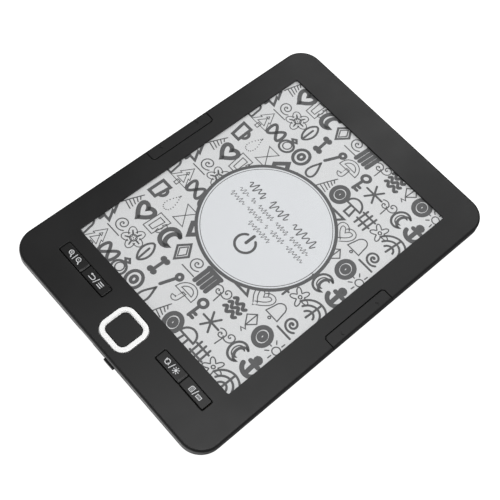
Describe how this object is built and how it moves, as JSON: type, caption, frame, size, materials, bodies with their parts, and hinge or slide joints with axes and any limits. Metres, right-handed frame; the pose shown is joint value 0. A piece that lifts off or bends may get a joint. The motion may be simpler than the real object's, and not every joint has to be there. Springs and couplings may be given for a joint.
{
  "type": "e-reader",
  "caption": "Handheld e-paper reader with a black plastic case, keys and a square direction pad under the screen, and rocker page keys on both sides.",
  "frame": {"origin": "middle of the flat back face, on the back shell", "axes": "+Z out of the screen, +Y to the top of the page, +X to the reader's right"},
  "size_m": [0.1172, 0.1649, 0.0089],
  "materials": {
    "black_shell": "fine matt moulded grain",
    "key_plastic": "satin, a little smoother than the case",
    "white_gloss": "polished white",
    "silicone": "soft grey silicone web",
    "epaper": "matt, paper-like light grey",
    "clear_guide": "clear with a fine anti-glare surface",
    "foam": "black closed-cell foam",
    "flex_film": "amber polyimide film",
    "frame_alloy": "bead-blasted sheet",
    "circuit_board": "green solder mask with tinned pads",
    "chip_resin": "matt moulded resin",
    "connector_resin": "ivory moulded resin",
    "battery_foil": "pouch foil",
    "wire_red": "soft sleeve",
    "wire_black": "soft sleeve",
    "plated_steel": "nickel plated"
  },
  "bodies": {
    "root": {"front_shell": "black_shell", "back_shell": "black_shell", "epaper_panel": "epaper", "light_guide": "clear_guide", "light_strip": "flex_film", "window_gasket": "foam", "display_flex": "flex_film", "key_flex": "flex_film", "mid_frame": "frame_alloy", "mainboard": "circuit_board", "key_board": "circuit_board", "page_strip_left": "circuit_board", "page_strip_right": "circuit_board", "processor_chip": "chip_resin", "memory_chip": "chip_resin", "power_chip": "chip_resin", "display_connector": "connector_resin", "battery_plug": "connector_resin", "battery": "battery_foil", "battery_wire_red": "wire_red", "battery_wire_black": "wire_black", "usb_socket": "plated_steel", "card_socket": "plated_steel", "power_switch": "plated_steel", "reset_switch": "plated_steel", "zoom_switch": "plated_steel", "menu_switch": "plated_steel", "refresh_switch": "plated_steel", "list_switch": "plated_steel", "ok_switch": "plated_steel", "nav_switch_up": "plated_steel", "nav_switch_down": "plated_steel", "nav_switch_left": "plated_steel", "nav_switch_right": "plated_steel", "page_switch_left_upper": "plated_steel", "page_switch_left_lower": "plated_steel", "page_switch_right_upper": "plated_steel", "page_switch_right_lower": "plated_steel", "board_screw_1": "plated_steel", "board_screw_2": "plated_steel", "board_screw_3": "plated_steel", "board_screw_4": "plated_steel", "frame_screw_1": "plated_steel", "frame_screw_2": "plated_steel", "frame_screw_3": "plated_steel", "frame_screw_4": "plated_steel", "frame_screw_5": "plated_steel", "frame_screw_6": "plated_steel"},
    "zoom_key": {"zoom_key": "key_plastic"},
    "menu_key": {"menu_key": "key_plastic"},
    "refresh_key": {"refresh_key": "key_plastic"},
    "list_key": {"list_key": "key_plastic"},
    "ok_key": {"ok_key": "key_plastic"},
    "nav_pad": {"nav_pad": "silicone"},
    "nav_ring": {"nav_ring": "white_gloss"},
    "page_key_left": {"page_key_left": "black_shell"},
    "page_key_right": {"page_key_right": "black_shell"},
    "power_button": {"power_button": "black_shell"}
  },
  "joints": [
    {"name": "zoom_press", "type": "slide", "parent": "root", "child": "zoom_key", "axis": [0, 0, -1], "range_m": [0, 0.00025], "stiffness_N_per_m": 300},
    {"name": "menu_press", "type": "slide", "parent": "root", "child": "menu_key", "axis": [0, 0, -1], "range_m": [0, 0.00025], "stiffness_N_per_m": 300},
    {"name": "refresh_press", "type": "slide", "parent": "root", "child": "refresh_key", "axis": [0, 0, -1], "range_m": [0, 0.00025], "stiffness_N_per_m": 300},
    {"name": "list_press", "type": "slide", "parent": "root", "child": "list_key", "axis": [0, 0, -1], "range_m": [0, 0.00025], "stiffness_N_per_m": 300},
    {"name": "ok_press", "type": "slide", "parent": "root", "child": "ok_key", "axis": [0, 0, -1], "range_m": [0, 0.00025], "stiffness_N_per_m": 300},
    {"name": "power_press", "type": "slide", "parent": "root", "child": "power_button", "axis": [0, 1, 0], "range_m": [0, 0.0002], "stiffness_N_per_m": 300},
    {"name": "nav_up_down", "type": "hinge", "parent": "root", "child": "nav_pad", "pos_m": [0, -0.07, 0.00605], "axis": [1, 0, 0], "range_deg": [-1.5, 1.5], "stiffness_Nm_per_rad": 0.1},
    {"name": "nav_left_right", "type": "hinge", "parent": "nav_pad", "child": "nav_ring", "pos_m": [0, -0.07, 0.00605], "axis": [0, 1, 0], "range_deg": [-1.5, 1.5], "stiffness_Nm_per_rad": 0.1},
    {"name": "page_rock_left", "type": "hinge", "parent": "root", "child": "page_key_left", "pos_m": [-0.0552, 0.00485, 0.0065], "axis": [1, 0, 0], "range_deg": [-1, 1], "stiffness_Nm_per_rad": 0.2},
    {"name": "page_rock_right", "type": "hinge", "parent": "root", "child": "page_key_right", "pos_m": [0.0552, 0.00485, 0.0065], "axis": [1, 0, 0], "range_deg": [-1, 1], "stiffness_Nm_per_rad": 0.2}
  ]
}
